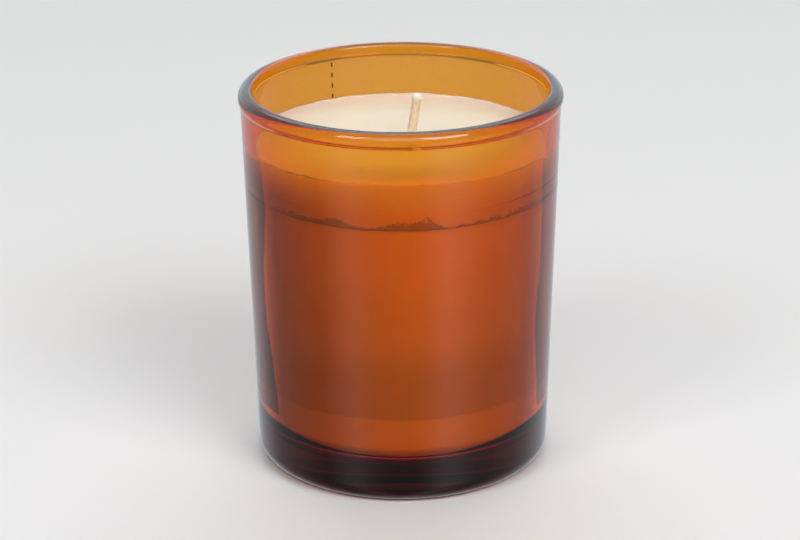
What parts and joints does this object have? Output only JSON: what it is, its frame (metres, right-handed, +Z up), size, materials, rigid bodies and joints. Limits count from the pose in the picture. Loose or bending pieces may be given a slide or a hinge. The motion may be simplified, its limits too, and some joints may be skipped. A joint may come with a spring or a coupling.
{
  "type": "container candle",
  "caption": "Amber glass tumbler candle with a thick base and rolled rim, filled with cream wax and a short upright braided wick.",
  "frame": {"origin": "centre of the foot, on the plane that the tumbler stands on", "axes": "+Z up along the tumbler's axis; +X is the way that the wick leans; -Y is the side that faced the camera"},
  "size_m": [0.08, 0.08, 0.0964],
  "materials": {
    "amber_glass": "gloss",
    "wax": "satin",
    "wick_cotton": "matte",
    "tinplate": "satin",
    "sticker_foam": "matte",
    "printed_ink": "satin"
  },
  "bodies": {
    "root": {"glass_jar": "amber_glass", "wax_first_pour": "wax", "wax_top_pour": "wax", "wick": "wick_cotton", "wick_sustainer": "tinplate", "wick_sticker": "sticker_foam"}
  },
  "joints": []
}
